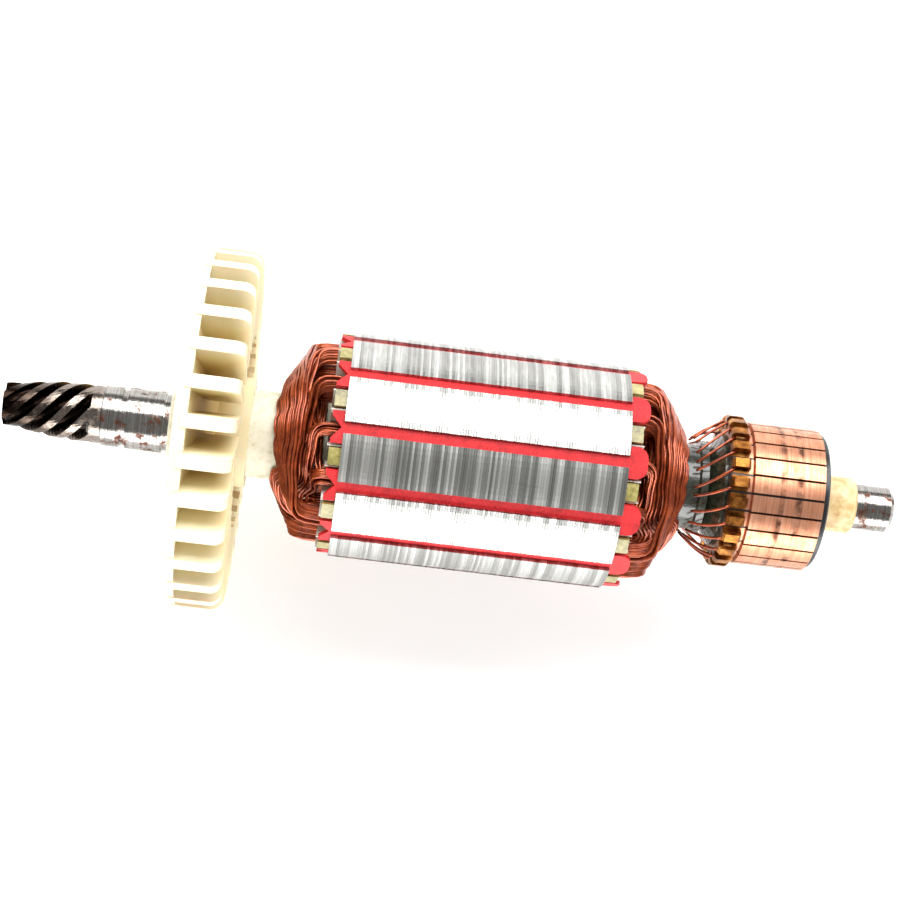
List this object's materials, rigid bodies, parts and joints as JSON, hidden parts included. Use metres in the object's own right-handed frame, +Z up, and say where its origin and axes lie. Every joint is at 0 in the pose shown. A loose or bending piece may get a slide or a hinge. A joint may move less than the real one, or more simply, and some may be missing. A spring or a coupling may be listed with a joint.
{
  "type": "motor armature",
  "caption": "Rotor of a universal motor: shaft with helical pinion, radial fan, slotted laminated core, lap winding and hook commutator.",
  "frame": {"origin": "centre of the drive-end bearing seat on the shaft axis", "axes": "+X along the shaft from the pinion to the commutator, +Z up"},
  "size_m": [0.1746, 0.07, 0.07],
  "materials": {
    "shaft": "oily ground steel",
    "sleeve": "moulded, stained",
    "tube": "cream insulating tube",
    "neck": "varnished binding",
    "fan": "ivory nylon, yellowed",
    "core": "stacked electrical steel sheet, bare",
    "end_plate": "varnished fibre",
    "liner": "polyester film",
    "wedge": "red vulcanised fibre",
    "coil": "enamelled copper wire",
    "lead": "enamelled copper wire",
    "moulding": "black phenolic resin",
    "bar": "bare copper with soot"
  },
  "bodies": {
    "root": {"shaft": "shaft", "drive_sleeve": "sleeve", "shaft_tube": "tube", "neck_sleeve": "neck", "fan": "fan", "core": "core", "end_plate_drive": "end_plate", "end_plate_commutator": "end_plate", "slot_liners": "liner", "slot_wedge_01": "wedge", "slot_wedge_02": "wedge", "slot_wedge_03": "wedge", "slot_wedge_04": "wedge", "slot_wedge_05": "wedge", "slot_wedge_06": "wedge", "slot_wedge_07": "wedge", "slot_wedge_08": "wedge", "slot_wedge_09": "wedge", "slot_wedge_10": "wedge", "slot_wedge_11": "wedge", "slot_wedge_12": "wedge", "coil_01": "coil", "coil_02": "coil", "coil_03": "coil", "coil_04": "coil", "coil_05": "coil", "coil_06": "coil", "coil_07": "coil", "coil_08": "coil", "coil_09": "coil", "coil_10": "coil", "coil_11": "coil", "coil_12": "coil", "lead_wires": "lead", "commutator_moulding": "moulding", "commutator_bar_01": "bar", "commutator_bar_02": "bar", "commutator_bar_03": "bar", "commutator_bar_04": "bar", "commutator_bar_05": "bar", "commutator_bar_06": "bar", "commutator_bar_07": "bar", "commutator_bar_08": "bar", "commutator_bar_09": "bar", "commutator_bar_10": "bar", "commutator_bar_11": "bar", "commutator_bar_12": "bar", "commutator_bar_13": "bar", "commutator_bar_14": "bar", "commutator_bar_15": "bar", "commutator_bar_16": "bar", "commutator_bar_17": "bar", "commutator_bar_18": "bar", "commutator_bar_19": "bar", "commutator_bar_20": "bar", "commutator_bar_21": "bar", "commutator_bar_22": "bar", "commutator_bar_23": "bar", "commutator_bar_24": "bar"}
  },
  "joints": []
}
